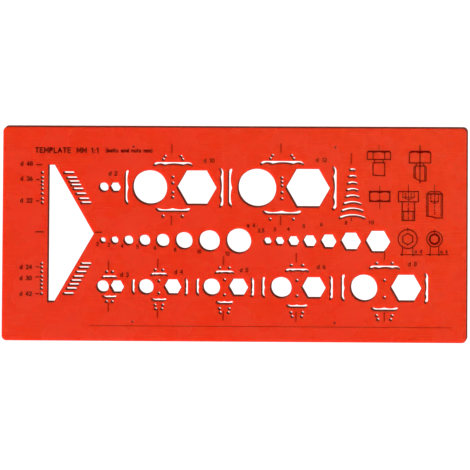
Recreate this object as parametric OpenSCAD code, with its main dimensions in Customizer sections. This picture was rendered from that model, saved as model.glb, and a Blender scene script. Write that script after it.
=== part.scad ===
// Bolt, nut and screw drawing template with circle and hexagon openings.
// One flat plastic sheet, cut through with drawing openings, carries thin printed ink figures.
// Frame: X along the sheet, Y up its face, Z up through its thickness.
// The origin is at the centre of the sheet, on the surface that the sheet rests on.
// Units: millimetres.

/* [Sheet] */
// Length of the sheet
sheet_length = 240; // [236:1:260]
// Width of the sheet
sheet_width = 110.8; // [109:0.2:130]
// Thickness of the sheet
sheet_thickness = 1; // [0.8:0.1:1.6]
// Radius of the sheet's four corners
corner_radius = 2.5; // [1:0.5:4]

/* [Ink pips] */
// Height that the pips lift the sheet off wet ink
pip_height = 0.3; // [0.2:0.1:0.5]
// Diameter of a pip where it leaves the sheet
pip_diameter = 1.6; // [1.2:0.1:2]
// Distance between the pips along the sheet
pip_spacing_x = 104.4; // [100:0.2:108]
// Distance between the pips across the sheet
pip_spacing_y = 90.6; // [88:0.2:92]

/* [Pen] */
// Added to each nominal size, so that the pen line comes out at that size
pen_allowance = 0.8; // [0.4:0.1:1]
// Added in the same way to the row of plain hexagons, which is cut a little wider
hexagon_allowance = 1.1; // [0.8:0.1:1.2]
// Diameter of the prick holes that mark points
prick_diameter = 1.5; // [0.8:0.1:1.5]

/* [Head profile slots] */
// Depth of a profile slot from its straight side to its cusps, on the largest group
profile_depth = 2.1; // [1.8:0.1:2.4]
// Width of the rounded ends of a profile slot
profile_tip = 0.9; // [0.7:0.1:1]

/* [Large hexagon corner] */
// Height of the 120 degree corner opening
corner_height = 71; // [68:1:72]
// Width of the flat at each end of that opening
corner_flat = 3.2; // [2:0.2:4]
// Length of the hatching bars beside it
bar_length = 5.7; // [4:0.1:5.8]
// Height of the hatching bars
bar_height = 1.4; // [0.8:0.1:1.4]

/* [Thread end arcs] */
// Width of the arc slots
arc_width = 1.3; // [0.8:0.1:1.4]
// Distance from one arc slot to the next
arc_pitch = 3.38; // [3.2:0.02:3.6]

/* [Ink] */
// Thickness of the printed ink
ink_thickness = 0.04; // [0.03:0.01:0.08]
// Width of a fine printed line
ink_line = 0.5; // [0.2:0.05:0.5]
// Width of a heavy printed line
ink_heavy = 0.8; // [0.4:0.05:0.8]
// Width of a centre tick
tick_width = 0.6; // [0.3:0.1:0.6]

/* [Hidden] */
$fn = 64;

cut_over = 1;
// Outlines that would only touch overlap by this much, so that they cross cleanly
crossing = 0.06;
sheet_bottom = pip_height;
sheet_top = sheet_bottom + sheet_thickness;
across_corners = 2 / sqrt(3);
sheet_red = [0.93, 0.24, 0.13];
ink_red = [0.40, 0.03, 0.02];

// Heights of the three rows of openings, from the middle of the sheet
upper_row = 24.1;
middle_row = -3.35;
lower_row = -27.3;

// Metric threads that the template draws, and the width across flats of each one's head
threads = [2, 3, 4, 5, 6, 8, 10, 12];
flats = [4, 5.5, 7, 8, 10, 13, 17, 19];
function flats_of(thread) = flats[search(thread, threads)[0]];

// Head groups, one row each:
// [thread, row height, centre x, circle to hexagon,
//  distances of the profile slots: [above the row, below it, left of the circle,
//  right of the hexagon], distances of the thread prick holes: [above the row, below it],
//  heights of the middle prick holes, core prick holes above (1) or below (-1) or none (0),
//  centre ticks: [x from the centre, start above the row, start below it]]
HEAD_GROUPS = [
    [2, upper_row, -64.6, 6.0, [], [], [], 0, []],
    [10, upper_row, -31.6, 24.2, [12.15, 11.65, 12.1, 12.8], [14.6, 14.8],
     [5.4, 2.3, -2.6, -5.1], 1, [-0.7, 17.7, 15.3]],
    [12, upper_row, 24.8, 26.2, [12.95, 12.75, 13.9, 13.8], [15.3, 16.1],
     [5.2, 3.2, 1.2, -2.3, -5.6], 1, [-0.7, 18.3, 15.1]],
    [3, lower_row, -64.1, 7.4, [4.9, 5.4], [7.6, 7.8],
     [], 0, [-0.6, 8.6, 8.8]],
    [4, lower_row, -38.5, 13.8, [6.45, 6.75, 6.6, 7.05], [8.7, 9.4],
     [3.1, -3.3], -1, [-0.7, 9.7, 11.7]],
    [5, lower_row, -4.6, 13.9, [7.7, 8.0, 7.2, 7.25], [9.9, 11.1],
     [3.8, -4.0], -1, [-0.7, 11.4, 12.9]],
    [6, lower_row, 32.8, 16.8, [8.9, 9.6, 9.2, 9.0], [11.5, 12.9],
     [3.7, -4.3], -1, [-0.5, 13.1, 13.2]],
    [8, lower_row, 77.9, 21.7, [10.6, 10.9, 10.8, 10.45], [12.8, 14.2],
     [4.0, -4.8], -1, [-0.1, 14.7, 13.0]],
];
function thread_of(group) = group[0];
function row_of(group) = group[1];
function centre_of(group) = group[2];
function pitch_of(group) = group[3];
function slots_of(group) = group[4];
function thread_pricks(group) = group[5];
function middle_pricks(group) = group[6];
function core_side(group) = group[7];
function ticks_of(group) = group[8];
function head_width(group) = flats_of(thread_of(group));

// How far the slots above and below a group, and its prick holes, stand from its centre
middle_shift = -0.2;
// Distance from the thread prick holes to the core prick holes, above and below a group
core_step_above = 1.55;
core_step_below = 2.0;
core_ratio = 0.82;
// How far a profile slot becomes shallower with each millimetre of thread
depth_step = 0.06;
// Length of the round shoulder at each end of a profile slot, over its height
shoulder_run = 1.5;
// The slots of the smallest group with slots run past the head by this much
short_slot_extra = 0.9;
centre_tick = 4.2;

// Plain circles, by diameter, and plain hexagons, by width across flats
circle_sizes = threads;
circle_start = -67.9;
circle_gap = 2.8;
hexagon_sizes = [2.5, 3, 4, 5, 6, 8, 10];
hexagon_start = 17.3;
hexagon_gap = 2.1;
gap_growth = 0.1;

// Left side of the large 120 degree corner, and the columns that go with it
corner_left = -96.3;
corner_middle = 0.1;
corner_right = corner_left + corner_flat + corner_height / 2 * tan(30);
bar_offset = 5.0;
corner_prick_x = -99.5;
// Heights of the hatching bars and their prick holes, up the upper arm and down the lower arm
upper_bars = [16.0, 18.0, 20.6, 23.1, 25.1, 26.9, 28.9, 31.5];
lower_bars = [-15.6, -17.6, -19.9, -22.3, -24.4, -26.4, -28.5, -31.1];
// Printed ticks of the large hexagons: half the width across flats, and the tick's length
corner_ticks = [[35.4, 2.5], [27.6, 1.3], [16.6, 1.3], [-17.6, 1.3], [-22.8, 1.3], [-31.5, 1.3]];
corner_tick_x = -102.3;
apex_tick = 3.2;

// Thread end arcs, smallest at the top
arc_x = 60.9;
arc_top = 33.8;

// How far the print lies off its place: it is laid on after the sheet is cut
print_shift = [-0.1, 0.3];

base_line_y = -47.8;
base_line_ends = [-74.3, 112.3];

// ---------------------------------------------------------------- plain outlines

// A rectangle about the origin whose four corners are true arcs
module rounded_rectangle(length, width, radius) {
    square([length - 2 * radius, width], center = true);
    square([length, width - 2 * radius], center = true);
    for (sx = [-1, 1], sy = [-1, 1])
        translate([sx * (length / 2 - radius), sy * (width / 2 - radius)])
            circle(r = radius);
}

// A bar with round ends
module round_bar(length, width) {
    square([length - width, width], center = true);
    for (side = [-1, 1])
        translate([side * (length - width) / 2, 0])
            circle(d = width);
}

// A hexagon with two flats level, given by its width across flats
module hexagon(across_flats) {
    circle(d = across_flats * across_corners, $fn = 6);
}

// A part of a ring about the origin, from one angle to another, less than 180 degrees apart
module ring_part(radius, width, from, to) {
    reach = 2 * radius;
    middle = (from + to) / 2;
    intersection() {
        difference() {
            circle(r = radius + width / 2);
            circle(r = radius - width / 2);
        }
        polygon([[0, 0], reach * [cos(from), sin(from)], 2 * reach * [cos(middle), sin(middle)],
                 reach * [cos(to), sin(to)]]);
    }
}

// Cuts an outline right through the sheet
module through() {
    translate([0, 0, -cut_over])
        linear_extrude(height = sheet_top + 2 * cut_over)
            children();
}

// ---------------------------------------------------------------- openings of the sheet

// Centres of openings that stand in a row with slowly growing gaps between them
function row_step(widths, i, gap) =
    (widths[i - 1] + widths[i]) / 2 + gap + gap_growth * (i - 1);
function row_place(widths, i, start, gap) =
    i == 0 ? start : row_place(widths, i - 1, start, gap) + row_step(widths, i, gap);

module plain_circles() {
    widths = [for (size = circle_sizes) size + pen_allowance];
    for (i = [0 : len(widths) - 1])
        translate([row_place(widths, i, circle_start, circle_gap), middle_row, -cut_over])
            cylinder(d = widths[i], h = sheet_top + 2 * cut_over);
}

module plain_hexagons() {
    widths = [for (size = hexagon_sizes) (size + pen_allowance) * across_corners];
    for (i = [0 : len(widths) - 1])
        translate([row_place(widths, i, hexagon_start, hexagon_gap), middle_row])
            through()
                hexagon(hexagon_sizes[i] + hexagon_allowance);
}

module prick_hole(x, y) {
    translate([x, y, -cut_over])
        cylinder(d = prick_diameter, h = sheet_top + 2 * cut_over);
}

// Slot that draws a bolt head seen from the side, with its straight side up and its middle
// at the origin. The lower side is one arc for each face of the head; chords are their widths.
module profile_slot(length, depth, rise, chords) {
    level = profile_tip / 2;
    shoulder = depth - level;
    run = shoulder_run * shoulder;
    bend = (run * run + shoulder * shoulder) / (2 * shoulder);
    translate([0, -depth / 2])
        difference() {
            union() {
                intersection() {
                    union() {
                        translate([-length / 2 + run, 0])
                            square([length - 2 * run, depth]);
                        for (side = [-1, 1])
                            translate([side * (length / 2 - run), depth - bend])
                                circle(r = bend);
                    }
                    translate([-length, level])
                        square([2 * length, depth]);
                }
                translate([-length / 2 + level, 0])
                    square([length - profile_tip, level]);
                for (side = [-1, 1])
                    translate([side * (length / 2 - level), level])
                        circle(r = level);
            }
            for (i = [0 : len(chords) - 1])
                translate([profile_tip - length / 2 + sum_to(chords, i) + chords[i] / 2, 0])
                    arc_cut(chords[i] + crossing, rise);
        }
}

// Sum of the first count values of a list
function sum_to(values, count) = count == 0 ? 0 : values[count - 1] + sum_to(values, count - 1);

// Disc whose top stands at the given rise over a level chord through the origin
module arc_cut(chord, rise) {
    radius = (chord * chord / 4 + rise * rise) / (2 * rise);
    translate([0, rise - radius])
        circle(r = radius);
}

// A profile slot grows with the thread
function slot_depth(thread) = profile_depth - depth_step * (12 - thread);
function slot_extra(thread) = pen_allowance + (thread == 3 ? short_slot_extra : 0);
function slot_rise(thread) = 0.06 * thread + 0.04;

// Head seen across its corners: the middle face is half as wide as the head
module corner_slot(thread) {
    width = flats_of(thread) * across_corners;
    length = width + slot_extra(thread);
    side_chord = (length - 2 * profile_tip - width / 2) / 2;
    profile_slot(length, slot_depth(thread), slot_rise(thread), [side_chord, width / 2, side_chord]);
}

// Head seen across its flats: two equal faces
module flat_slot(thread) {
    length = flats_of(thread) + slot_extra(thread);
    chord = length / 2 - profile_tip;
    profile_slot(length, slot_depth(thread), slot_rise(thread), [chord, chord]);
}

// Circle, hexagon, profile slots and prick holes of one head group
module head_circle(group) {
    translate([centre_of(group) - pitch_of(group) / 2, row_of(group), -cut_over])
        cylinder(d = head_width(group) + pen_allowance, h = sheet_top + 2 * cut_over);
}

module head_hexagon(group) {
    translate([centre_of(group) + pitch_of(group) / 2, row_of(group)])
        through()
            hexagon(head_width(group) + pen_allowance);
}

module head_slots(group) {
    thread = thread_of(group);
    reach = slots_of(group);
    half_pitch = pitch_of(group) / 2;
    translate([centre_of(group), row_of(group)]) {
        if (len(reach) > 0) {
            translate([middle_shift, reach[0]])
                through()
                    corner_slot(thread);
            translate([middle_shift, -reach[1]])
                through()
                    rotate(180)
                        flat_slot(thread);
        }
        if (len(reach) > 2) {
            translate([-half_pitch - reach[2], 0])
                through()
                    rotate(90)
                        flat_slot(thread);
            translate([half_pitch + reach[3], 0])
                through()
                    rotate(-90)
                        corner_slot(thread);
        }
    }
}

module head_pricks(group) {
    middle = centre_of(group) + middle_shift;
    row = row_of(group);
    half = thread_of(group) / 2;
    above = row + thread_pricks(group)[0];
    below = row - thread_pricks(group)[1];
    core = core_side(group) > 0 ? above + core_step_above : below - core_step_below;
    for (side = [-1, 1]) {
        prick_hole(middle + side * half, above);
        prick_hole(middle + side * half, below);
        if (core_side(group) != 0)
            prick_hole(middle + side * core_ratio * half, core);
    }
    for (height = middle_pricks(group))
        prick_hole(middle, row + height);
}

// Large 120 degree corner for big hexagons, with hatching bars and prick holes up both arms
module large_corner() {
    half = corner_height / 2;
    translate([corner_left, corner_middle])
        through()
            polygon([[0, -half], [corner_flat, -half], [corner_right - corner_left, 0],
                     [corner_flat, half], [0, half]]);
    for (height = concat(upper_bars, lower_bars)) {
        translate([corner_right - abs(height) * tan(30) + bar_offset, height])
            through()
                round_bar(bar_length, bar_height);
        prick_hole(corner_prick_x, height);
    }
}

// Domed thread ends: arc slots, one for each thread, crest up
module thread_end_arcs() {
    for (i = [0 : len(threads) - 1]) {
        span = 1.05 * threads[i] + 1.2 - arc_width;
        radius = 1.3 * threads[i];
        half_angle = asin(span / 2 / radius);
        translate([arc_x, arc_top - i * arc_pitch - radius])
            through() {
                ring_part(radius, arc_width, 90 - half_angle, 90 + half_angle);
                for (side = [-1, 1])
                    translate([side * span / 2, radius * cos(half_angle)])
                        circle(d = arc_width + crossing);
            }
    }
}

// ---------------------------------------------------------------- the sheet

// One pip: a small boss pressed out of the underside, with its dimple in the top face
module pip_boss() {
    cylinder(d1 = pip_diameter / 2, d2 = pip_diameter, h = pip_height);
}

module pip_dimple() {
    translate([0, 0, sheet_top - pip_height])
        cylinder(d1 = pip_diameter / 4, d2 = pip_diameter * 0.75, h = pip_height + 0.001);
}

module at_pips() {
    for (sx = [-1, 1], sy = [-1, 1])
        translate([sx * pip_spacing_x / 2, sy * pip_spacing_y / 2])
            children();
}

module sheet() {
    color(sheet_red)
        difference() {
            union() {
                translate([0, 0, sheet_bottom])
                    linear_extrude(height = sheet_thickness)
                        rounded_rectangle(sheet_length, sheet_width, corner_radius);
                at_pips()
                    pip_boss();
            }
            at_pips()
                pip_dimple();
            plain_circles();
            plain_hexagons();
            large_corner();
            thread_end_arcs();
            for (group = HEAD_GROUPS) {
                head_circle(group);
                head_hexagon(group);
                head_slots(group);
                if (len(slots_of(group)) > 0)
                    head_pricks(group);
            }
        }
}

// ---------------------------------------------------------------- printed figures

// Lays an outline on the top face as a film of ink
module ink() {
    color(ink_red)
        translate([print_shift[0], print_shift[1], sheet_top])
            linear_extrude(height = ink_thickness)
                children();
}

// A straight printed line with square ends
module line(from, to, width = ink_line) {
    run = to - from;
    translate(from)
        rotate(atan2(run[1], run[0]))
            translate([-width / 2, -width / 2])
                square([norm(run) + width, width]);
}

module lines(points, width = ink_line) {
    for (i = [1 : len(points) - 1])
        line(points[i - 1], points[i], width);
}

// A printed rectangle, given by its middle, its size and its line
module frame_line(middle, length, width, weight = ink_line) {
    translate(middle)
        difference() {
            square([length + weight, width + weight], center = true);
            square([length - weight, width - weight], center = true);
        }
}

// Dashed line of short strokes
module dashes(from, to, count) {
    stroke = (to - from) / (2 * count - 1);
    for (i = [0 : count - 1])
        line(from + 2 * i * stroke, from + (2 * i + 1) * stroke, ink_line * 0.8);
}

// Heavy chamfer arc under or over a head line, from one side to the other
module chamfer_arc(middle, chord, rise) {
    radius = (chord * chord / 4 + rise * rise) / (2 * rise);
    half_angle = asin(chord / 2 / radius);
    translate(middle)
        translate([0, -radius])
            ring_part(radius, ink_line, 90 - half_angle, 90 + half_angle);
}

// Centre ticks above and below the head groups of one row
module row_ticks(row) {
    for (group = HEAD_GROUPS)
        if (row_of(group) == row && len(ticks_of(group)) > 0) {
            x = centre_of(group) + ticks_of(group)[0];
            above = row + ticks_of(group)[1];
            below = row - ticks_of(group)[2];
            line([x, above], [x, above + centre_tick], tick_width);
            line([x, below], [x, below - centre_tick], tick_width);
        }
}

module upper_centre_ticks() {
    ink() {
        row_ticks(upper_row);
        line([arc_x - 0.4, arc_top + 3.0], [arc_x - 0.4, arc_top + 8.0], tick_width);
        line([arc_x - 0.3, arc_top - 7.5 * arc_pitch],
             [arc_x - 0.3, arc_top - 7.9 * arc_pitch], tick_width);
    }
}

module lower_centre_ticks() {
    ink()
        row_ticks(lower_row);
}

// Size ticks left of the large corner, and the middle mark through its point
module corner_size_ticks() {
    ink() {
        for (tick = corner_ticks)
            line([corner_tick_x, tick[0]], [corner_tick_x + tick[1], tick[0]]);
        line([corner_prick_x - 3.1, corner_middle + 0.4],
             [corner_prick_x + 0.9, corner_middle + 0.4]);
        line([corner_right + 0.9, corner_middle + 0.4],
             [corner_right + 0.9 + apex_tick, corner_middle + 0.4]);
    }
}

module base_line() {
    ink()
        line([base_line_ends[0], base_line_y], [base_line_ends[1], base_line_y], ink_line * 0.5);
}

// Shank with a thread and a broken end: centre x, top, bottom and half width
module broken_shank(x, top, bottom, half, slant) {
    lines([[x - half, bottom + slant], [x - half, top], [x + half, top], [x + half, bottom]]);
    lines([[x - half, bottom + slant], [x - half * 0.2, bottom + slant * 0.35], [x + half, bottom]]);
}

// Hexagon bolt seen across its corners
module bolt_corner_view() {
    x = 74.7;
    top = 43.0;
    bottom = 38.8;
    half = 6.0;
    face = half / 2;
    ink() {
        lines([[x - half, top - 0.6], [x - half, bottom], [x + half, bottom], [x + half, top - 0.6]]);
        line([x - half + 0.7, top], [x + half - 0.7, top], ink_heavy);
        line([x - half, top - 0.6], [x - half + 0.7, top]);
        line([x + half, top - 0.6], [x + half - 0.7, top]);
        chamfer_arc([x, top - 0.2], 2 * face, 0.5);
        for (side = [-1, 1]) {
            chamfer_arc([x + side * face * 1.5, top - 0.2], face, 0.4);
            line([x + side * face, bottom], [x + side * face, top - 0.6]);
            line([x + side * 2.2, bottom], [x + side * 2.2, bottom - 1.7]);
        }
        line([x, top + 1.1], [x, top + 3.0], ink_line * 0.6);
        broken_shank(x, bottom - 1.7, 30.4, 3.0, 0.4);
    }
}

// Hexagon bolt seen across its flats
module bolt_flat_view() {
    x = 95.9;
    top = 43.0;
    bottom = 37.1;
    half = 5.5;
    ink() {
        lines([[x - half, top - 0.7], [x - half, bottom], [x + half, bottom], [x + half, top - 0.7]]);
        line([x - half + 0.9, top], [x + half - 0.9, top], ink_heavy);
        for (side = [-1, 1]) {
            line([x + side * half, top - 0.7], [x + side * (half - 0.9), top]);
            chamfer_arc([x + side * half / 2, top - 0.2], half, 0.6);
            line([x + side * 1.9, bottom], [x + side * 1.9, bottom - 1.2]);
            line([x + side * 1.9, bottom - 1.2], [x + side * 3.1, bottom - 2.2]);
            line([x + side * 2.4, bottom - 1.9], [x + side * 2.4, side < 0 ? 29.3 : 27.9],
                 ink_line * 0.7);
        }
        line([x, 26.8], [x, top + 3.2]);
        line([x - 1.9, bottom - 1.6], [x + 1.9, bottom - 1.6]);
        lines([[x - 3.1, bottom - 2.2], [x - 3.1, 29.6], [x, 27.8],
               [x + 3.1, 27.8], [x + 3.1, bottom - 2.2]]);
    }
}

// Hexagon nut seen across its flats
module nut_view() {
    x = 75.2;
    middle = 19.7;
    half = 5.2;
    height = 5.2;
    ink() {
        frame_line([x, middle], 2 * half, height, ink_line * 1.2);
        for (side = [-1, 1], end = [0, 180])
            translate([x + side * half / 2, middle])
                rotate(end)
                    chamfer_arc([0, height / 2 - 0.2], half, 0.6);
        line([x, middle + 5.4], [x, middle + 3.2], ink_line * 0.6);
        dashes([x, middle + 2.2], [x, middle - 2.2], 3);
        line([x, middle - 3.2], [x, middle - 6.4], ink_line * 0.6);
    }
}

// Hexagon socket cap screw from the side, with its hidden socket dashed
module cap_screw_view() {
    x = 90.0;
    top = 22.3;
    bottom = 17.0;
    end = 7.4;
    ink() {
        frame_line([x, (top + bottom) / 2], 10.3, top - bottom);
        for (side = [-1, 1]) {
            dashes([x + side * 2.9, top], [x + side * 2.9, top - 3.0], 3);
            dashes([x + side * 1.4, top - 0.8], [x + side * 1.4, top - 2.4], 2);
            dashes([x + side * 2.9, top - 3.0], [x, top - 4.4], 3);
            line([x + side * 3.2, bottom], [x + side * 3.2, end]);
            line([x + side * 2.4, 12.1], [x + side * 2.4, end], ink_line * 0.7);
        }
        dashes([x - 2.9, top - 3.0], [x + 2.9, top - 3.0], 5);
        line([x - 3.2, 12.1], [x + 3.2, 12.1]);
        line([x - 3.2, end], [x + 3.2, end]);
        line([x, top + 3.6], [x, bottom + 0.4], ink_line * 0.6);
        dashes([x, bottom - 0.8], [x, end + 0.6], 4);
    }
}

// Set screw from the side, with a chamfered end and a hidden socket
module set_screw_view() {
    x = 103.5;
    top = 22.3;
    half = 4.0;
    end = 8.7;
    ink() {
        lines([[x - half, end + 1.0], [x - half, top - 1.2], [x - half + 1.4, top], [x + half - 1.4, top],
               [x + half, top - 1.2], [x + half, end]]);
        lines([[x - half, end + 1.0], [x - 0.8, end + 0.6], [x + 0.6, end], [x + half, end]]);
        line([x - half, top - 1.2], [x + half, top - 1.2], ink_heavy * 0.8);
        for (side = [-1, 1]) {
            line([x + side * (half - 0.7), top - 1.2], [x + side * (half - 0.7), end + 1.0],
                 ink_line * 0.6);
            dashes([x + side * 2.0, top - 1.6], [x + side * 2.0, top - 5.0], 3);
            dashes([x + side * 2.0, top - 5.0], [x, top - 6.2], 2);
        }
        dashes([x - 2.0, top - 5.0], [x + 2.0, top - 5.0], 3);
        dashes([x, top + 3.4], [x, end + 2.0], 9);
    }
}

// A printed ring about a point
module ring(middle, radius, width = ink_line) {
    translate(middle)
        difference() {
            circle(r = radius + width / 2);
            circle(r = radius - width / 2);
        }
}

// Hexagon outline with a corner up, given by its width across flats
module socket_outline(middle, across_flats) {
    radius = across_flats * across_corners / 2;
    points = [for (a = [30 : 60 : 390]) middle + radius * [cos(a), sin(a)]];
    lines(points);
}

// Dimension across a socket: two extension lines, and a dimension line with an arrow at each.
// The dimension line runs on by before to the left and by after to the right.
module socket_dimension(middle, half, level, before, after) {
    for (side = [-1, 1]) {
        x = middle[0] + side * half;
        line([x, middle[1] - 3.6], [x, level - 0.5], ink_line * 0.8);
        translate([x + side * 0.2, level])
            rotate(side > 0 ? 0 : 180)
                polygon([[-0.5, 0], [0.6, 0.6], [0.6, -0.6]]);
    }
    line([middle[0] - half - before, level], [middle[0] + half + after, level], ink_line * 0.7);
}

// Short end of a centre line, across the top of an end view
module top_mark(middle, radius) {
    line(middle + [0, radius - 0.8], middle + [0, radius + 0.8], ink_line * 0.7);
}

module cap_screw_end_view() {
    middle = [89.7, -2.2];
    ink() {
        ring(middle, 4.9);
        top_mark(middle, 4.9);
        socket_outline(middle, 5.1);
        socket_dimension(middle, 2.65, -10.3, 1.0, 5.0);
    }
}

module set_screw_end_view() {
    middle = [103.5, -2.2];
    ink() {
        ring(middle, 4.0);
        top_mark(middle, 4.0);
        ring(middle, 2.7);
        socket_outline(middle, 4.3);
        socket_dimension(middle, 2.2, -10.2, 2.0, 5.0);
    }
}

sheet();
upper_centre_ticks();
lower_centre_ticks();
corner_size_ticks();
base_line();
bolt_corner_view();
bolt_flat_view();
nut_view();
cap_screw_view();
set_screw_view();
cap_screw_end_view();
set_screw_end_view();
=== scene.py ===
from math import asin, atan2, cos, degrees, hypot, pi, radians, sin, sqrt, tan

import bpy
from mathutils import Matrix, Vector
from mathutils.geometry import delaunay_2d_cdt


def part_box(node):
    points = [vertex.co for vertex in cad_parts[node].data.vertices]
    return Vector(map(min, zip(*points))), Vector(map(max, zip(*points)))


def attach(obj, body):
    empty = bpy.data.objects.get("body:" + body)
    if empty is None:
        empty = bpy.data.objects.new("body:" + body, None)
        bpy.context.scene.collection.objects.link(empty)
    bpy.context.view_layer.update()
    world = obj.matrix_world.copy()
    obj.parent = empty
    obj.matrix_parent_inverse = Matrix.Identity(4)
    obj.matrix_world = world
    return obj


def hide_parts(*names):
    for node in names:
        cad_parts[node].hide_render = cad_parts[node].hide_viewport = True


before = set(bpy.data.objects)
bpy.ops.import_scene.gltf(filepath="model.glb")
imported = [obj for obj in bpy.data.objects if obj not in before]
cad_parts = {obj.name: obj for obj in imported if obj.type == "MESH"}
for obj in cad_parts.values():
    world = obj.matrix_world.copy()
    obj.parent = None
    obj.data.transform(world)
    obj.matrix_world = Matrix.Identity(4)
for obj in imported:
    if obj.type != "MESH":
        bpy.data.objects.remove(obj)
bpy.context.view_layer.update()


# ------------------------------------------------------------------ the sheet
# One flat piece of glossy orange-red plastic, about a millimetre thick. The blank is cut to
# size with rounded corners, every opening is cut right through it, and all the cut edges are
# lightly broken with a buffing wheel so that a pen slides along them.

MM = 0.001       # every size below is in millimetres
sheet_low, sheet_high = (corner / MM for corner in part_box("sheet"))
sheet_length = sheet_high.x - sheet_low.x
sheet_width = sheet_high.y - sheet_low.y
sheet_top = sheet_high.z
pip_height = 0.3
sheet_bottom = pip_height
corner_radius = 2.5
# How far a cut edge is rounded off, on an open outline and on a narrow slot
wide_edge, narrow_edge = 0.28, 0.08
across_corners = 2 / sqrt(3)
# A pen draws this much inside an opening; the plain hexagons are cut a little wider
pen_allowance, hexagon_allowance = 0.8, 1.1

# Heights of the three rows, and the width across flats of the head of each thread size
upper_row, middle_row, lower_row = 24.1, -3.35, -27.3
head_width = {2: 4, 3: 5.5, 4: 7, 5: 8, 6: 10, 8: 13, 10: 17, 12: 19}

# thread: (row, centre x, circle to hexagon, distances of the profile slots above and below
#          the row, left of the circle and right of the hexagon, distances of the thread prick
#          holes above and below the row, heights of the middle ones, side of the core ones)
head_groups = {
    2: (upper_row, -64.6, 6.0, [], [], [], 0),
    10: (upper_row, -31.6, 24.2, [12.15, 11.65, 12.1, 12.8], [14.6, 14.8],
         [5.4, 2.3, -2.6, -5.1], 1),
    12: (upper_row, 24.8, 26.2, [12.95, 12.75, 13.9, 13.8], [15.3, 16.1],
         [5.2, 3.2, 1.2, -2.3, -5.6], 1),
    3: (lower_row, -64.1, 7.4, [4.9, 5.4], [7.6, 7.8], [], 0),
    4: (lower_row, -38.5, 13.8, [6.45, 6.75, 6.6, 7.05], [8.7, 9.4], [3.1, -3.3], -1),
    5: (lower_row, -4.6, 13.9, [7.7, 8.0, 7.2, 7.25], [9.9, 11.1], [3.8, -4.0], -1),
    6: (lower_row, 32.8, 16.8, [8.9, 9.6, 9.2, 9.0], [11.5, 12.9], [3.7, -4.3], -1),
    8: (lower_row, 77.9, 21.7, [10.6, 10.9, 10.8, 10.45], [12.8, 14.2], [4.0, -4.8], -1),
}
# The slots above and below a group, and its prick holes, stand this far from its centre
middle_shift = -0.2
# Core prick holes: their spacing as a share of the thread, and the step out to them
core_ratio, core_step_above, core_step_below = 0.82, 1.55, 2.0


def arc(x, y, radius, start, end, step=0.3):
    """Points about a step apart along an arc, with its angles in degrees, ends included."""
    count = max(3, round(abs(radians(end - start)) * radius / step))
    angles = [radians(start + (end - start) * i / count) for i in range(count + 1)]
    return [(x + radius * cos(a), y + radius * sin(a)) for a in angles]


def round_hole(x, y, diameter, step=0.36):
    count = max(24, 4 * round(diameter * pi / step / 4))
    turns = [2 * pi * i / count for i in range(count)]
    return [(x + diameter / 2 * cos(a), y + diameter / 2 * sin(a)) for a in turns]


def eased(corners, cutter=0.12):
    """An anticlockwise outline whose corners keep the small radius of the cutter."""
    points = []
    for i, (x, y) in enumerate(corners):
        before, after = corners[i - 1], corners[(i + 1) % len(corners)]
        come, go = atan2(y - before[1], x - before[0]), atan2(after[1] - y, after[0] - x)
        turn = (go - come) % (2 * pi)
        back = cutter * tan(turn / 2)
        cx = x - back * cos(come) - cutter * sin(come)
        cy = y - back * sin(come) + cutter * cos(come)
        points += arc(cx, cy, cutter, degrees(come) - 90, degrees(come + turn) - 90, step=0.05)
    return points


def hexagon_hole(x, y, across_flats):
    reach = across_flats / sqrt(3)
    return eased([(x + reach * cos(radians(a)), y + reach * sin(radians(a)))
                  for a in range(0, 360, 60)])


def turned(points, angle, x, y):
    c, s = cos(radians(angle)), sin(radians(angle))
    return [(x + c * px - s * py, y + s * px + c * py) for px, py in points]


def rounded_plate(length, width, radius):
    points = []
    for sx, sy, start in ((1, -1, -90), (1, 1, 0), (-1, 1, 90), (-1, -1, 180)):
        points += arc(sx * (length / 2 - radius), sy * (width / 2 - radius), radius,
                      start, start + 90)
    return points


def round_bar(x, y, length, width):
    reach = (length - width) / 2
    return (arc(x + reach, y, width / 2, -90, 90, step=0.15)
            + arc(x - reach, y, width / 2, 90, 270, step=0.15))


# Profile slots: width of the round ends, depth of the deepest and how it falls with the
# thread, rise of the arcs for each millimetre of thread, and the shoulders' length by height
tip, deepest, depth_step = 0.9, 2.1, 0.06
rise_step, least_rise, shoulder_run = 0.06, 0.04, 1.5
largest_thread, shortest_slots, short_slot_extra = 12, 3, 0.9


def profile_slot(thread, faces):
    """Slot that draws a bolt head seen from the side: straight side up, one arc below for
    each face of the head that the view shows, and long round shoulders at its ends."""
    depth = deepest - depth_step * (largest_thread - thread)
    rise = rise_step * thread + least_rise
    length = head_width[thread] * (across_corners if faces == 3 else 1) + pen_allowance
    if thread == shortest_slots:
        length += short_slot_extra
    level = tip / 2
    shoulder = depth - level
    run = shoulder_run * shoulder
    bend = (run * run + shoulder * shoulder) / (2 * shoulder)
    tilt = degrees(asin((level - depth + bend) / bend))
    reach = length / 2
    arched = length - 2 * tip
    if faces == 3:
        middle = head_width[thread] * across_corners / 2
        chords = [(arched - middle) / 2, middle, (arched - middle) / 2]
    else:
        chords = [arched / 2, arched / 2]
    points = arc(-reach + level, level, level, 180, 270, step=0.12)
    x = tip - reach
    for chord in chords:
        radius = (chord * chord / 4 + rise * rise) / (2 * rise)
        half = degrees(asin(chord / 2 / radius))
        points += arc(x + chord / 2, rise - radius, radius, 90 + half, 90 - half)
        x += chord
    points += arc(reach - level, level, level, 270, 360, step=0.12)
    points += arc(reach - run, depth - bend, bend, tilt, 90, step=0.2)
    points += arc(-reach + run, depth - bend, bend, 90, 180 - tilt, step=0.2)
    return [(px, py - depth / 2) for px, py in points]


# Slots for domed thread ends: place of the stack, and how width and radius follow the thread
arc_x, arc_top, arc_pitch, arc_width = 60.9, 33.8, 3.38, 1.3
arc_roundness, arc_growth, arc_margin = 1.3, 1.05, 1.2


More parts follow.
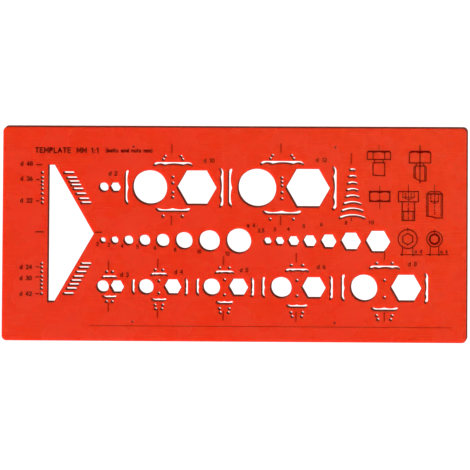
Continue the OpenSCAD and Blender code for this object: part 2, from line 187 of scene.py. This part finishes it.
def arc_slot(x, crest, thread):
    """Slot that draws the domed end of a thread, crest up."""
    width, radius = arc_width, arc_roundness * thread
    span = arc_growth * thread + arc_margin - width
    half = degrees(asin(span / 2 / radius))
    y = crest - radius
    ends = [(x + side * span / 2, y + radius * cos(radians(half))) for side in (1, -1)]
    return (arc(x, y, radius + width / 2, 90 - half, 90 + half)
            + arc(*ends[1], width / 2, 90 + half, 270 + half, step=0.15)[1:-1]
            + arc(x, y, radius - width / 2, 90 + half, 90 - half)
            + arc(*ends[0], width / 2, -90 - half, 90 - half, step=0.15)[1:-1])


def in_a_row(widths, start, gap, growth=0.1):
    """Centres of openings that stand in a row with slowly growing gaps."""
    places = [start]
    for i in range(1, len(widths)):
        places.append(places[-1] + (widths[i - 1] + widths[i]) / 2 + gap + growth * (i - 1))
    return places


openings = []    # outlines whose edges are well broken
slots = []       # narrow ones, and holes that stand close together, whose edges are only eased

circle_sizes = [2, 3, 4, 5, 6, 8, 10, 12]
circle_places = in_a_row([size + pen_allowance for size in circle_sizes], start=-67.9, gap=2.8)
for size, x in zip(circle_sizes, circle_places):
    openings.append(round_hole(x, middle_row, size + pen_allowance))

hexagon_sizes = [2.5, 3, 4, 5, 6, 8, 10]
hexagon_places = in_a_row([(size + pen_allowance) * across_corners for size in hexagon_sizes],
                          start=17.3, gap=2.1)
for size, x in zip(hexagon_sizes, hexagon_places):
    openings.append(hexagon_hole(x, middle_row, size + hexagon_allowance))

prick_diameter = 1.5
pricks = []
for thread, (row, centre, pitch, reach, thread_reach, middles, core) in head_groups.items():
    opening = head_width[thread] + pen_allowance
    openings.append(round_hole(centre - pitch / 2, row, opening))
    openings.append(hexagon_hole(centre + pitch / 2, row, opening))
    if not reach:
        continue
    middle = centre + middle_shift
    slots.append(turned(profile_slot(thread, faces=3), 0, middle, row + reach[0]))
    slots.append(turned(profile_slot(thread, faces=2), 180, middle, row - reach[1]))
    if len(reach) > 2:
        left, right = centre - pitch / 2 - reach[2], centre + pitch / 2 + reach[3]
        slots.append(turned(profile_slot(thread, faces=2), 90, left, row))
        slots.append(turned(profile_slot(thread, faces=3), -90, right, row))
    above, below = row + thread_reach[0], row - thread_reach[1]
    for side in (-1, 1):
        pricks += [(middle + side * thread / 2, above), (middle + side * thread / 2, below)]
        if core:
            pricks.append((middle + side * core_ratio * thread / 2,
                           above + core_step_above if core > 0 else below - core_step_below))
    pricks += [(middle, row + height) for height in middles]

# The large 120 degree corner, with hatching bars beside its arms and prick holes at its left
corner_left, corner_middle, corner_flat, corner_half = -96.3, 0.1, 3.2, 35.5
corner_slope = tan(radians(30))
corner_point = corner_left + corner_flat + corner_half * corner_slope
openings.append(eased([(corner_left, corner_middle - corner_half),
                       (corner_left + corner_flat, corner_middle - corner_half),
                       (corner_point, corner_middle),
                       (corner_left + corner_flat, corner_middle + corner_half),
                       (corner_left, corner_middle + corner_half)]))
bar_offset, bar_length, bar_width, corner_prick_x = 5.0, 5.7, 1.4, -99.5
upper_bars = (16.0, 18.0, 20.6, 23.1, 25.1, 26.9, 28.9, 31.5)
lower_bars = (-15.6, -17.6, -19.9, -22.3, -24.4, -26.4, -28.5, -31.1)
for height in upper_bars + lower_bars:
    bar_x = corner_point - abs(height) * corner_slope + bar_offset
    slots.append(round_bar(bar_x, height, bar_length, bar_width))
    pricks.append((corner_prick_x, height))

for i, thread in enumerate(circle_sizes):
    slots.append(arc_slot(arc_x, arc_top - i * arc_pitch, thread))

slots += [round_hole(x, y, prick_diameter) for x, y in pricks]


def set_aside(points, distance, sharpest=0.25):
    """The outline moved sideways, to the left of its direction for a positive distance."""
    moved = []
    for i, (x, y) in enumerate(points):
        before, after = points[i - 1], points[(i + 1) % len(points)]
        run_in = Vector((x - before[0], y - before[1])).normalized()
        run_out = Vector((after[0] - x, after[1] - y)).normalized()
        left = Vector((-run_in.y - run_out.y, run_in.x + run_out.x))
        corner = left / max(sharpest, 1 + run_in.dot(run_out))
        moved.append((x + corner.x * distance, y + corner.y * distance))
    return moved


def anticlockwise(points, doubled=1e-4):
    """The outline without doubled points, running anticlockwise."""
    kept = [p for i, p in enumerate(points)
            if hypot(p[0] - points[i - 1][0], p[1] - points[i - 1][1]) > doubled]
    area = sum(kept[i - 1][0] * p[1] - p[0] * kept[i - 1][1] for i, p in enumerate(kept))
    return kept if area > 0 else kept[::-1]


def inside(x, y, outline):
    crossings = 0
    for i, (ax, ay) in enumerate(outline):
        bx, by = outline[i - 1]
        if (ay > y) != (by > y) and x < ax + (y - ay) * (bx - ax) / (by - ay):
            crossings += 1
    return crossings % 2 == 1


# What the triangle maker is asked for: only what lies inside the outlines
ONLY_INSIDE = 1


def filled(plate, holes, nearness=1e-7):
    """Triangles of a plate with holes; their corners count through the plate, then the holes."""
    loops = [plate] + holes
    points = [Vector(p) for loop in loops for p in loop]
    loop_of = [n for n, loop in enumerate(loops) for _ in loop]
    edges, first = [], 0
    for loop in loops:
        edges += [(first + i, first + (i + 1) % len(loop)) for i in range(len(loop))]
        first += len(loop)
    _, _, faces, sources, _, _ = delaunay_2d_cdt(points, edges, [], ONLY_INSIDE, nearness)
    kept = []
    for face in faces:
        face = [sources[i][0] for i in face]
        hole = loop_of[face[0]]
        middle = sum((points[i] for i in face), Vector((0, 0))) / 3
        in_hole = hole and all(loop_of[i] == hole for i in face) and inside(*middle, loops[hole])
        if not in_hole:
            kept.append(face)
    return kept


class Shape:
    """Corners and faces gathered for one mesh, in millimetres."""

    def __init__(self):
        self.corners, self.faces, self.finish, self.smooth = [], [], [], []

    def ring(self, points, z):
        first = len(self.corners)
        self.corners += [(x, y, z) for x, y in points]
        return list(range(first, len(self.corners)))

    def face(self, corners, finish=0, smooth=False):
        self.faces.append(corners)
        self.finish.append(finish)
        self.smooth.append(smooth)

    def wall(self, lower, upper, finish, tall_wall=0.5, long_side=0.8):
        """Faces between two rings; the long flat ones of straight walls stay flat."""
        for i in range(len(lower)):
            (ax, ay, az), (bx, by, _) = self.corners[lower[i - 1]], self.corners[lower[i]]
            tall = abs(self.corners[upper[i]][2] - az) > tall_wall
            straight = tall and hypot(bx - ax, by - ay) > long_side
            self.face([lower[i - 1], lower[i], upper[i], upper[i - 1]], finish, not straight)

    def made(self, name, materials):
        mesh = bpy.data.meshes.new(name)
        mesh.from_pydata([Vector(c) * MM for c in self.corners], [], self.faces)
        for material in materials:
            mesh.materials.append(material)
        mesh.polygons.foreach_set("material_index", self.finish)
        mesh.polygons.foreach_set("use_smooth", self.smooth)
        mesh.update()
        piece = bpy.data.objects.new(name, mesh)
        bpy.context.scene.collection.objects.link(piece)
        return piece


edge_steps = [radians(a) for a in (0, 30, 60, 90)]
# Finish numbers: the plain faces, and the deeper red of the cut edges, which is partly painted shade
# and also paints the shade in the dimples
FACE, EDGE_AND_SHADE = 0, 1
sheet = Shape()
plate = rounded_plate(sheet_length, sheet_width, corner_radius)
rims = {"top": [], "bottom": []}
for outline, way, edge in ([(plate, 1, wide_edge)] + [(o, -1, wide_edge) for o in openings]
                           + [(o, -1, narrow_edge) for o in slots]):
    outline = anticlockwise(outline)
    levels = [(edge * (1 - sin(a)), sheet_bottom + edge * (1 - cos(a))) for a in edge_steps]
    levels += [(inset, sheet_bottom + sheet_top - z) for inset, z in reversed(levels)]
    rings = [sheet.ring(set_aside(outline, way * inset), z) for inset, z in levels]
    for lower, upper in zip(rings, rings[1:]):
        sheet.wall(lower[::way], upper[::way], EDGE_AND_SHADE)
    rims["bottom"].append(rings[0])
    rims["top"].append(rings[-1])

# Four small pips, pressed down out of the sheet, hold it off wet ink. Each is a boss below
# and a dimple above, given by (radius, height over the table)
pip_x, pip_y = 52.2, 45.3
boss = [(0.8, pip_height), (0.76, 0.24), (0.66, 0.12), (0.55, 0.04), (0.4, 0.0)]
dimple = [(radius, sheet_top - depth)
          for radius, depth in ((0.62, 0), (0.56, 0.03), (0.42, 0.14), (0.3, 0.24), (0.15, 0.3))]
for x, y in [(sx * pip_x, sy * pip_y) for sx in (-1, 1) for sy in (-1, 1)]:
    # The dimple above takes the deeper edge red as painted shade in it; the boss below keeps the
    # plain face finish
    for side, levels, way, finish in (("bottom", boss, 1, FACE), ("top", dimple, -1, EDGE_AND_SHADE)):
        rings = [sheet.ring(round_hole(x, y, 2 * radius), z) for radius, z in levels]
        for outer, inner in zip(rings, rings[1:]):
            sheet.wall(inner[::way], outer[::way], finish)
        sheet.face(rings[-1][::-way], finish, True)
        rims[side].append(rings[0])
for side, way in (("top", 1), ("bottom", -1)):
    outlines = [[sheet.corners[i][:2] for i in rim] for rim in rims[side]]
    places = [i for rim in rims[side] for i in rim]
    for triangle in filled(outlines[0], outlines[1:]):
        sheet.face([places[i] for i in triangle][::way], FACE)


def finish_named(name, **sockets):
    """A new plastic or ink finish, with its even numbers and colours on the shader itself."""
    finish = bpy.data.materials.new(name)
    finish.use_nodes = True
    shader = finish.node_tree.nodes["Principled BSDF"]
    for socket, value in sockets.items():
        shader.inputs[socket.replace("_", " ")].default_value = value
    return finish, finish.node_tree, shader


def place_in_piece(tree):
    return tree.nodes.new("ShaderNodeTexCoord").outputs["Object"]


def grain(tree, place, scale, detail=3.0, stretch=(1, 1, 1), turn=0.0):
    """Soft grain; its size is one over the scale, in metres, before it is stretched."""
    mapping = tree.nodes.new("ShaderNodeMapping")
    mapping.inputs["Rotation"].default_value = (0, 0, radians(turn))
    mapping.inputs["Scale"].default_value = stretch
    noise = tree.nodes.new("ShaderNodeTexNoise")
    noise.inputs["Scale"].default_value = scale
    noise.inputs["Detail"].default_value = detail
    tree.links.new(place, mapping.inputs["Vector"])
    tree.links.new(mapping.outputs["Vector"], noise.inputs["Vector"])
    return noise.outputs["Fac"]


def spread(tree, value, low, high, to_low, to_high):
    """Turns the part of a value between low and high into a new range."""
    node = tree.nodes.new("ShaderNodeMapRange")
    for socket, number in zip(("From Min", "From Max", "To Min", "To Max"),
                              (low, high, to_low, to_high)):
        node.inputs[socket].default_value = number
    tree.links.new(value, node.inputs["Value"])
    return node.outputs["Result"]


def blended(tree, share, first, second):
    """Two colours, or two sockets, laid over each other by a share."""
    node = tree.nodes.new("ShaderNodeMix")
    node.data_type = "RGBA"
    for socket, source in ((0, share), (6, first), (7, second)):
        if isinstance(source, bpy.types.NodeSocket):
            tree.links.new(source, node.inputs[socket])
        else:
            node.inputs[socket].default_value = source if socket == 0 else (*source, 1)
    return node.outputs[2]


def summed(tree, *values):
    total = values[0]
    for value in values[1:]:
        node = tree.nodes.new("ShaderNodeMath")
        tree.links.new(total, node.inputs[0])
        tree.links.new(value, node.inputs[1])
        total = node.outputs[0]
    return total


def raised(tree, shader, height, distance, strength=1.0):
    bump = tree.nodes.new("ShaderNodeBump")
    bump.inputs["Strength"].default_value = strength
    bump.inputs["Distance"].default_value = distance
    tree.links.new(height, bump.inputs["Height"])
    tree.links.new(bump.outputs["Normal"], shader.inputs["Normal"])


# The two faces: cast sheet with a clouded, slightly uneven red, paler towards one corner,
# and a gloss that years of sleeves and set squares have dulled with fine scratches
sheet_face, tree, shader = finish_named("sheet_plastic_face", Metallic=0.0, IOR=1.49,
                                        Subsurface_Weight=1.0, Subsurface_Scale=0.004,
                                        Subsurface_Radius=(1.0, 0.12, 0.04))
place = place_in_piece(tree)
red, bright_red, cloud_red = (0.87, 0.029, 0.0055), (0.95, 0.041, 0.0080), (0.89, 0.033, 0.0065)
pale_red, pale_bright_red = (0.86, 0.044, 0.0100), (0.94, 0.056, 0.0140)
clouds = spread(tree, grain(tree, place, 260, detail=5), 0.3, 0.7, 0, 1)
drift = spread(tree, grain(tree, place, 22, detail=2), 0.3, 0.7, 0, 1)
along = tree.nodes.new("ShaderNodeSeparateXYZ")
tree.links.new(place, along.inputs[0])
pale_corner = spread(tree, summed(tree, along.outputs["X"], along.outputs["Y"]), 0, 0.15, 0, 1)
mottle = blended(tree, clouds, red, bright_red)
clouded = blended(tree, drift, mottle, cloud_red)
faded = blended(tree, pale_corner, clouded, blended(tree, clouds, pale_red, pale_bright_red))
tree.links.new(faded, shader.inputs["Base Color"])
scratch_turns, scratch_stretch = (12, 74, -38), (1, 45, 1)
scratches = [spread(tree, grain(tree, place, 60, 4, scratch_stretch, turn), 0.62, 0.72, 0, 1)
             for turn in scratch_turns]
worn = summed(tree, *scratches)
dulled = summed(tree, spread(tree, worn, 0, 1, 0, 0.16),
                spread(tree, grain(tree, place, 45, detail=4), 0.3, 0.7, 0.2, 0.34))
tree.links.new(dulled, shader.inputs["Roughness"])
relief = summed(tree, spread(tree, worn, 0, 1, 0, -0.5), grain(tree, place, 2600, detail=2))
raised(tree, shader, relief, distance=0.000012, strength=0.5)

# The cut edges: the same plastic, deeper in colour, with the fine marks of the cutter. The deeper red
# is partly the plastic seen edge-on and partly painted shade along every edge; the pressed dimples
# take it too, as painted shade in them
edge_and_shade_finish, tree, shader = finish_named("sheet_plastic_edge_and_painted_shade", Metallic=0.0, IOR=1.49,
                                      Subsurface_Weight=1.0, Subsurface_Scale=0.004,
                                      Subsurface_Radius=(1.0, 0.12, 0.04))
place = place_in_piece(tree)
deepest_red, deep_red = (0.20, 0.006, 0.001), (0.28, 0.010, 0.002)
cutter_marks = grain(tree, place, 900, detail=3, stretch=(1, 1, 6))
deep = blended(tree, spread(tree, cutter_marks, 0.3, 0.7, 0, 1), deepest_red, deep_red)
tree.links.new(deep, shader.inputs["Base Color"])
tree.links.new(spread(tree, cutter_marks, 0.2, 0.8, 0.25, 0.45), shader.inputs["Roughness"])
raised(tree, shader, cutter_marks, distance=0.00002, strength=0.6)

cut_sheet = sheet.made("cut_sheet", [sheet_face, edge_and_shade_finish])
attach(cut_sheet, "root")
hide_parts("sheet")


# ------------------------------------------------------------------ printed figures
# Centre ticks, size ticks, the base line and the small drawings of bolts, a nut and screws.
# They are screen-printed on the finished sheet in dark ink, which lies as a thin film that is
# a little uneven where the squeegee left less of it.

def ink_finish(name, full, lean):
    """Matt ink between two colours: where the film is full, and where it is lean."""
    finish, tree, shader = finish_named(name, Metallic=0.0, Specular_IOR_Level=0.01)
    place = place_in_piece(tree)
    film = spread(tree, grain(tree, place, 700, detail=4), 0.35, 0.72, 0, 1)
    tree.links.new(blended(tree, film, full, lean), shader.inputs["Base Color"])
    tree.links.new(spread(tree, grain(tree, place, 400, detail=3), 0.3, 0.7, 0.6, 0.8),
                   shader.inputs["Roughness"])
    raised(tree, shader, grain(tree, place, 5000, detail=2), distance=0.00001, strength=0.6)
    return finish


# The centre ticks and the base line got less ink, so that the sheet's red shows through them
printed_ink = ink_finish("printed_ink", full=(0.070, 0.0007, 0.0003), lean=(0.190, 0.0022, 0.0007))
lean_ink = ink_finish("lean_ink", full=(0.250, 0.0045, 0.0007), lean=(0.380, 0.0080, 0.0012))
lean_figures = ("upper_centre_ticks", "lower_centre_ticks", "base_line")
for name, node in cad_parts.items():
    if name != "sheet":
        for slot in node.material_slots:
            slot.material = lean_ink if name in lean_figures else printed_ink


# ------------------------------------------------------------------ numerals and letters
# Size numerals, size letters and the heading, printed with the same ink from a technical
# lettering stencil: every stroke is of even weight and has round ends.

ink_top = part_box("base_line")[1].z / MM
# How far the print lies off its place: it is laid on after the sheet is cut
print_shift = Vector((-0.1, 0.3))


def bow(x, y, half_width, half_height, start, end, turn=24):
    """Points along a part of an oval, about one turn of some degrees apart."""
    count = max(4, round(abs(end - start) / turn))
    turns = [radians(start + (end - start) * i / count) for i in range(count + 1)]
    return [(x + half_width * cos(a), y + half_height * sin(a)) for a in turns]


# Each sign is drawn one unit high: (width, its strokes)
signs = {
    "0": (0.60, [bow(0.30, 0.50, 0.30, 0.50, 90, 450)]),
    "1": (0.34, [[(0.04, 0.78), (0.28, 1.0), (0.28, 0.0)]]),
    "2": (0.58, [bow(0.29, 0.72, 0.28, 0.28, 165, -38) + [(0.0, 0.0), (0.58, 0.0)]]),
    "3": (0.58, [bow(0.27, 0.77, 0.26, 0.23, 150, -90), bow(0.27, 0.27, 0.30, 0.27, 90, -150)]),
    "4": (0.62, [[(0.46, 0.0), (0.46, 1.0), (0.0, 0.28), (0.62, 0.28)]]),
    "5": (0.58, [[(0.54, 1.0), (0.10, 1.0), (0.05, 0.55)] + bow(0.27, 0.32, 0.30, 0.32, 130, -145)]),
    "6": (0.58, [bow(0.29, 0.30, 0.29, 0.30, 180, 540), bow(0.62, 0.30, 0.62, 0.72, 180, 108)]),
    "8": (0.58, [bow(0.29, 0.76, 0.24, 0.24, -90, 270), bow(0.29, 0.26, 0.29, 0.26, 90, 450)]),
    ":": (0.10, [[(0.05, 0.08)], [(0.05, 0.55)]]),
    ",": (0.16, [[(0.10, 0.06), (0.03, -0.16)]]),
    "(": (0.22, [bow(0.50, 0.42, 0.46, 0.70, 128, 232)]),
    ")": (0.22, [bow(-0.28, 0.42, 0.46, 0.70, 52, -52)]),
    " ": (0.34, []),
    "A": (0.70, [[(0.0, 0.0), (0.35, 1.0), (0.70, 0.0)], [(0.13, 0.36), (0.57, 0.36)]]),
    "E": (0.54, [[(0.54, 1.0), (0.0, 1.0), (0.0, 0.0), (0.54, 0.0)], [(0.0, 0.52), (0.46, 0.52)]]),
    "L": (0.50, [[(0.0, 1.0), (0.0, 0.0), (0.50, 0.0)]]),
    "M": (0.78, [[(0.0, 0.0), (0.0, 1.0), (0.39, 0.30), (0.78, 1.0), (0.78, 0.0)]]),
    "P": (0.56, [[(0.0, 0.0), (0.0, 1.0), (0.30, 1.0)] + bow(0.30, 0.74, 0.26, 0.26, 60, -90)
                 + [(0.0, 0.48)]]),
    "T": (0.62, [[(0.0, 1.0), (0.62, 1.0)], [(0.31, 1.0), (0.31, 0.0)]]),
    "a": (0.54, [bow(0.27, 0.33, 0.27, 0.33, 0, 360), [(0.54, 0.66), (0.54, 0.0)]]),
    "b": (0.54, [bow(0.27, 0.33, 0.27, 0.33, 180, 540), [(0.0, 1.0), (0.0, 0.0)]]),
    "d": (0.54, [bow(0.27, 0.33, 0.27, 0.33, 0, 360), [(0.54, 1.0), (0.54, 0.0)]]),
    "l": (0.02, [[(0.01, 0.0), (0.01, 1.0)]]),
    "m": (0.82, [[(0.0, 0.0), (0.0, 0.66)], bow(0.205, 0.42, 0.205, 0.24, 180, 0) + [(0.41, 0.0)],
                 bow(0.615, 0.42, 0.205, 0.24, 180, 0) + [(0.82, 0.0)]]),
    "n": (0.48, [[(0.0, 0.0), (0.0, 0.66)], bow(0.24, 0.40, 0.24, 0.26, 180, 0) + [(0.48, 0.0)]]),
    "o": (0.54, [bow(0.27, 0.33, 0.27, 0.33, 90, 450)]),
    "s": (0.42, [bow(0.21, 0.50, 0.19, 0.16, 50, 270) + bow(0.21, 0.17, 0.21, 0.17, 90, -140)]),
    "t": (0.34, [[(0.12, 0.95)] + bow(0.28, 0.16, 0.16, 0.16, 180, 270) + [(0.34, 0.0)],
                 [(0.0, 0.66), (0.32, 0.66)]]),
    "u": (0.48, [[(0.0, 0.66)] + bow(0.24, 0.26, 0.24, 0.26, 180, 360), [(0.48, 0.66), (0.48, 0.0)]]),
}


def lettered(text, x, y, height, anchor="left", gap=0.24):
    """Strokes of a line of signs whose middle height is y, from its left end or its middle."""
    widths = [signs[sign][0] for sign in text]
    length = (sum(widths) + gap * (len(text) - 1)) * height
    left = x - (length / 2 if anchor == "middle" else 0)
    strokes = []
    for sign, width in zip(text, widths):
        for stroke in signs[sign][1]:
            strokes.append([(left + px * height, y + (py - 0.5) * height) for px, py in stroke])
        left += (width + gap) * height
    return strokes


def inked_outline(strokes, weight, dot_sides=12):
    """Round-ended ribbons along the strokes, as small outlines that overlap each other."""
    turns = [2 * pi * k / dot_sides for k in range(dot_sides)]
    outlines = []
    for stroke in strokes:
        for i, (x, y) in enumerate(stroke):
            outlines.append([(x + weight / 2 * cos(a), y + weight / 2 * sin(a)) for a in turns])
            if i:
                ax, ay = stroke[i - 1]
                run = Vector((x - ax, y - ay)).normalized() * weight / 2
                outlines.append([(ax + run.y, ay - run.x), (x + run.y, y - run.x),
                                 (x - run.y, y + run.x), (ax - run.y, ay + run.x)])
    return outlines


def print_letters(name, lines, nearness=1e-5):
    """Lays lines of strokes on the sheet as one film of ink; lines are (strokes, weight)."""
    outlines = [outline for strokes, weight in lines for outline in inked_outline(strokes, weight)]
    points = [Vector(p) + print_shift for outline in outlines for p in outline]
    loops, first = [], 0
    for outline in outlines:
        loops.append(list(range(first, first + len(outline))))
        first += len(outline)
    flat, _, triangles, _, _, covered = delaunay_2d_cdt(points, [], loops, ONLY_INSIDE, nearness)
    triangles = [t for t, outlines_over in zip(triangles, covered) if outlines_over]
    film = Shape()
    lower = film.ring(flat, sheet_top)
    upper = film.ring(flat, ink_top)
    rim = {}
    for triangle in triangles:
        film.face([upper[i] for i in triangle])
        film.face([lower[i] for i in reversed(triangle)])
        for a, b in zip(triangle, triangle[1:] + triangle[:1]):
            rim[a, b] = (b, a) not in rim
            if not rim[a, b]:
                rim[b, a] = False
    for (a, b), outside in rim.items():
        if outside:
            film.face([lower[a], lower[b], upper[b], upper[a]])
    piece = film.made(name, [printed_ink])
    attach(piece, "root")


# Weights of the strokes
thin, fine, bold = 0.36, 0.46, 0.58

# Heading, in three runs along the top edge
heading_y, heading_height, note_height = 42.9, 2.5, 1.7
heading = [(lettered("TEMPLATE", -103.0, heading_y, heading_height, gap=0.34), bold),
           (lettered("MM 1:1", -81.4, heading_y, heading_height, gap=0.34), bold),
           (lettered("(bolts and nuts mm)", -66.6, heading_y, note_height, gap=0.33), fine)]
print_letters("heading_letters", heading)

# Sizes beside the large corner, and the height of each one's line
size_height, letter_x, size_x = 2.0, -110.6, -107.4
corner_sizes = {48: 35.9, 36: 28.1, 22: 16.8, 24: -17.7, 30: -23.4, 42: -31.5}
lines = []
for size, y in corner_sizes.items():
    lines.append((lettered("d", letter_x, y, size_height), fine))
    lines.append((lettered(str(size), size_x, y, size_height), fine))
print_letters("corner_size_letters", lines)

# Thread sizes beside the head groups: (left end, height of the line). The letter and the
# number stand a step apart, and the smallest two sizes are printed a little heavier.
number_step = 3.0
head_labels = {2: (-64.9, 31.0), 10: (-15.7, 37.9), 12: (42.3, 38.5), 3: (-58.5, -21.4),
               4: (-30.5, -19.8), 5: (3.3, -18.6), 6: (43.1, -16.8), 8: (90.1, -15.1)}
lines = []
for thread, (x, y) in head_labels.items():
    weight = fine if thread < 4 else thin
    lines.append((lettered("d", x, y, size_height), weight))
    lines.append((lettered(str(thread), x + number_step, y, size_height), weight))
print_letters("head_size_letters", lines)

# Sizes below and to the left of the plain circles: each stands off from the circle's centre
# by a share of the radius and a gap
numeral_height = 1.7
left_share, left_gap, down_share, down_gap = 0.62, 1.7, 0.93, 0.9
lines = []
for size, x in zip(circle_sizes, circle_places):
    radius = (size + pen_allowance) / 2
    left = x - left_share * radius - left_gap
    level = middle_row - down_share * radius - down_gap
    lines.append((lettered(str(size), left, level, numeral_height, "middle"), thin))
print_letters("circle_size_numerals", lines)

# Sizes above the plain hexagons, each at (its middle, height of its line), after a letter
row_letter_y, colon_y = 4.5, 4.4
lines = [(lettered("a", 6.9, row_letter_y, numeral_height), fine),
         (lettered("4", 9.8, row_letter_y, numeral_height), fine),
         (lettered(":", 12.0, colon_y, numeral_height), fine)]
hexagon_labels = {"2,5": (14.1, 1.8), "3": (21.1, 2.4), "4": (28.2, 2.7), "5": (36.1, 4.2),
                  "6": (45.2, 5.1), "8": (57.9, 6.1), "10": (70.9, 6.3)}
wide_gap, usual_gap = 0.5, 0.24
for text, (x, y) in hexagon_labels.items():
    gap = wide_gap if text == "10" else usual_gap
    lines.append((lettered(text, x, y, numeral_height, "middle", gap), thin))
print_letters("hexagon_size_numerals", lines)

# Size letters on the dimension lines of the end views
dimension_places, dimension_y, dimension_height, dimension_step = (93.4, 106.6), -8.6, 1.6, 2.6
lines = []
for x in dimension_places:
    lines.append((lettered("a", x, dimension_y, dimension_height), thin))
    lines.append((lettered("4", x + dimension_step, dimension_y, dimension_height), thin))
print_letters("end_view_letters", lines)


# ------------------------------------------------------------------ table, light and camera
# A plain white table top with a faint paper tooth, a lamp at the lower left of the sheet as
# it is read, a little warm light from all round, and a camera almost straight above.

table_top = Shape()
table_reach = 1500
table_top.face(table_top.ring([(-table_reach, -table_reach), (table_reach, -table_reach),
                               (table_reach, table_reach), (-table_reach, table_reach)], 0))
white_table, tree, shader = finish_named("white_table", Roughness=0.9, Specular_IOR_Level=0.1)
white, bright_white = (0.90, 0.90, 0.895), (0.93, 0.93, 0.925)
tooth = grain(tree, place_in_piece(tree), 900, detail=4)
tree.links.new(blended(tree, tooth, white, bright_white), shader.inputs["Base Color"])
table = table_top.made("table", [white_table])

scene = bpy.context.scene
scene.view_settings.view_transform = "Standard"
room = bpy.data.worlds.new("room")
room.use_nodes = True
room.node_tree.nodes["Background"].inputs["Color"].default_value = (1, 0.22, 0.1, 1)
room.node_tree.nodes["Background"].inputs["Strength"].default_value = 0.15
scene.world = room

lamp_data = bpy.data.lights.new("lamp", "SUN")
lamp_data.energy = 4.9
lamp_data.angle = radians(4)
lamp = bpy.data.objects.new("lamp", lamp_data)
lamp_aim = Vector((0.41, 0.57, -0.82))
lamp.rotation_euler = lamp_aim.to_track_quat("-Z", "Y").to_euler()
scene.collection.objects.link(lamp)

camera_data = bpy.data.cameras.new("camera")
camera_data.sensor_width = 36
camera_data.lens = 200
picture_width, picture_middle = 242.77, Vector((0.51, -0.28, sheet_top))
camera_height = picture_width * camera_data.lens / camera_data.sensor_width
camera = bpy.data.objects.new("camera", camera_data)
camera.rotation_euler = (radians(1.86), radians(1.54), radians(0.35))
sight = camera.rotation_euler.to_matrix() @ Vector((0, 0, -1))
camera.location = (picture_middle - sight * camera_height) * MM
camera_data.clip_end = 100
scene.collection.objects.link(camera)
scene.camera = camera
